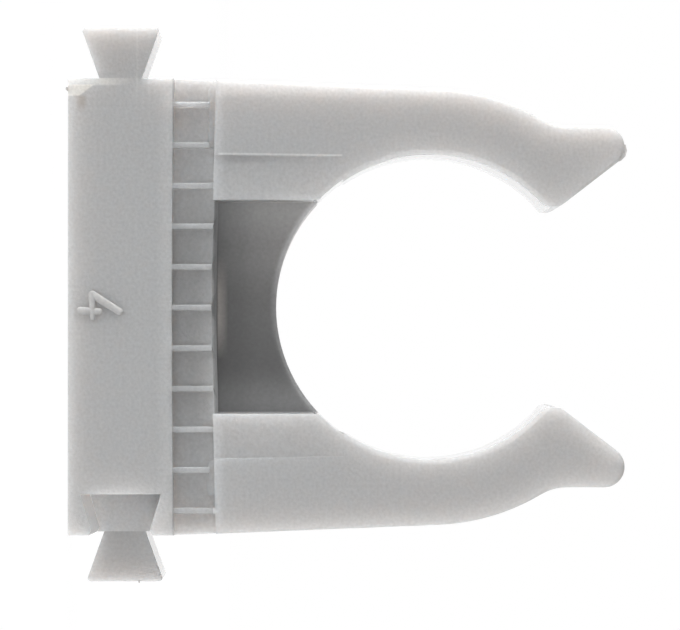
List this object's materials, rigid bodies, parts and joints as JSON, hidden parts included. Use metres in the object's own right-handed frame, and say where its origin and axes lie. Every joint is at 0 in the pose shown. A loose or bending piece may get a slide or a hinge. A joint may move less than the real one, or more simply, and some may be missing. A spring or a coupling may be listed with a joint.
{
  "type": "pipe clip",
  "caption": "Open snap-in pipe clip moulded in pale grey plastic, with sprung flared arms on a flat base block and dovetails that link clips side by side.",
  "frame": {"origin": "middle of the flat face that the clip stands on", "axes": "+Z from the base to the open mouth, Y along the pipe with the front at -Y, X across the row of clips"},
  "size_m": [0.0586, 0.02, 0.0584],
  "materials": {
    "body": "fine spark-eroded matt, slightly translucent"
  },
  "bodies": {
    "root": {"pipe_clip": "body"}
  },
  "joints": []
}
